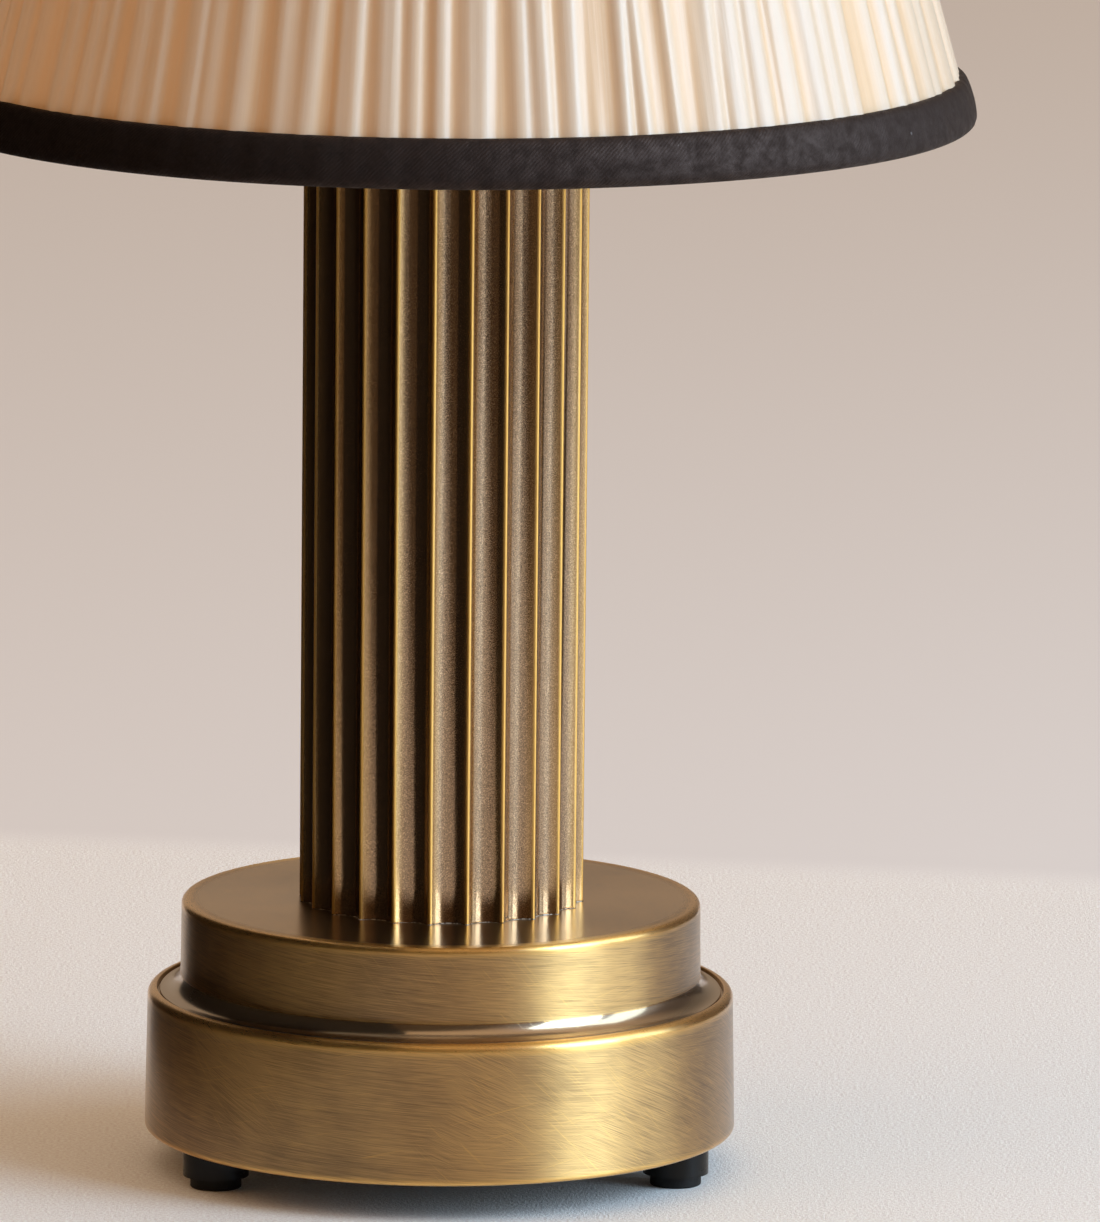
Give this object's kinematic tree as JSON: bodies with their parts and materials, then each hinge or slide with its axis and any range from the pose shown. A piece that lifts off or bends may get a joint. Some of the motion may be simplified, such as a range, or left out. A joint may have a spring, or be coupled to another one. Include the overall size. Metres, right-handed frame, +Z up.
{
  "type": "table lamp",
  "caption": "Fluted brass column table lamp on a stepped round base with a gathered empire shade.",
  "frame": {"origin": "on the table plane, under the column's axis", "axes": "+Z up the column, -Y towards the picture's viewer, +X to the viewer's right"},
  "size_m": [0.2498, 0.2498, 0.447],
  "materials": {
    "tier_brass": "antique brass, brushed round",
    "column_brass": "antique brass, worn arrises",
    "polished_brass": "polished, lacquered",
    "zinc_steel": "zinc plated",
    "dark_steel": "phosphated",
    "iron": "as cast, painted black",
    "foot_rubber": "matt black",
    "foot_nylon": "satin black",
    "white_nylon": "moulded",
    "wire_sleeving": "smooth",
    "phenolic": "moulded, black",
    "fibre_liner": "pressed fibre",
    "cap_metal": "rolled thread",
    "solder": "dull",
    "black_glass": "fused",
    "clear_glass": "clear",
    "filament_coating": "phosphor coated",
    "cream_cloth": "gathered, soft sheen",
    "lining_cloth": "plain weave",
    "black_binding": "soft nap",
    "white_wire": "epoxy coated"
  },
  "bodies": {
    "lamp": {"foot_bodies": "foot_nylon", "foot_pads": "foot_rubber", "foot_screws": "zinc_steel", "foot_nuts": "zinc_steel", "base_plate": "dark_steel", "plate_pillars": "zinc_steel", "plate_screws": "zinc_steel", "base_weight": "iron", "base_plinth": "tier_brass", "base_drum": "tier_brass", "cable_inlet_bush": "foot_rubber", "terminal_block": "white_nylon", "terminal_screws": "zinc_steel", "terminal_block_screw": "zinc_steel", "internal_wires": "wire_sleeving", "lamp_pipe": "zinc_steel", "lock_washer": "zinc_steel", "pipe_nut_lower": "zinc_steel", "pipe_nut_upper": "polished_brass", "fluted_column": "column_brass", "column_lower_spigot": "white_nylon", "column_upper_spigot": "white_nylon", "column_cap": "tier_brass", "neck_spacer": "tier_brass", "harp_saddle": "polished_brass", "harp": "polished_brass", "harp_top_collar": "polished_brass", "socket_cap": "polished_brass", "socket_shell": "polished_brass", "socket_liner": "fibre_liner", "socket_body": "phenolic", "socket_screw_shell": "cap_metal", "socket_centre_contact": "polished_brass", "socket_terminal_screws": "polished_brass"},
    "switch": {"switch_shaft": "polished_brass", "switch_knob": "phenolic"},
    "sleeve_left": {"harp_sleeve_left": "polished_brass"},
    "sleeve_right": {"harp_sleeve_right": "polished_brass"},
    "stud": {"harp_stud": "polished_brass"},
    "shade": {"shade_fabric": "cream_cloth", "shade_lining": "lining_cloth", "shade_bottom_ring": "white_wire", "shade_top_ring": "white_wire", "shade_struts": "white_wire", "shade_spider": "white_wire", "shade_bottom_trim": "black_binding", "shade_top_trim": "black_binding"},
    "finial_thread": {"finial_insert": "polished_brass"},
    "finial": {"finial_knob": "tier_brass"},
    "bulb_tip": {"bulb_contact": "solder"},
    "bulb": {"bulb_insulator": "black_glass", "bulb_cap": "cap_metal", "bulb_glass": "clear_glass", "bulb_stem": "clear_glass", "bulb_supports": "zinc_steel", "bulb_filaments": "filament_coating"}
  },
  "joints": [
    {"name": "switch_turn", "type": "hinge", "parent": "lamp", "child": "switch", "pos_m": [0, -0.025, 0.2956], "axis": [0, -1, 0], "continuous": true},
    {"name": "sleeve_left_lift", "type": "slide", "parent": "lamp", "child": "sleeve_left", "axis": [0, 0, 1], "range_m": [0, 0.016]},
    {"name": "sleeve_right_lift", "type": "slide", "parent": "lamp", "child": "sleeve_right", "axis": [0, 0, 1], "range_m": [0, 0.016]},
    {"name": "shade_swivel", "type": "hinge", "parent": "lamp", "child": "stud", "pos_m": [0, 0, 0.4176], "axis": [0, 0, 1], "continuous": true},
    {"name": "shade_lift", "type": "slide", "parent": "stud", "child": "shade", "axis": [0, 0, 1], "range_m": [0, 0.2]},
    {"name": "finial_rise", "type": "slide", "parent": "shade", "child": "finial_thread", "axis": [0, 0, 1], "range_m": [0, 0.0113]},
    {"name": "finial_spin", "type": "hinge", "parent": "finial_thread", "child": "finial", "pos_m": [0, 0, 0.43], "axis": [0, 0, 1], "range_deg": [0, 4320]},
    {"name": "bulb_rise", "type": "slide", "parent": "lamp", "child": "bulb_tip", "axis": [0, 0, 1], "range_m": [0, 0.0109]},
    {"name": "bulb_spin", "type": "hinge", "parent": "bulb_tip", "child": "bulb", "pos_m": [0, 0, 0.33], "axis": [0, 0, 1], "range_deg": [0, 1080]}
  ],
  "couplings": [
    {"joint": "finial_rise", "follows": "finial_spin", "m_per_rad": 0.00014972},
    {"joint": "bulb_rise", "follows": "bulb_spin", "m_per_rad": 0.00057757}
  ]
}
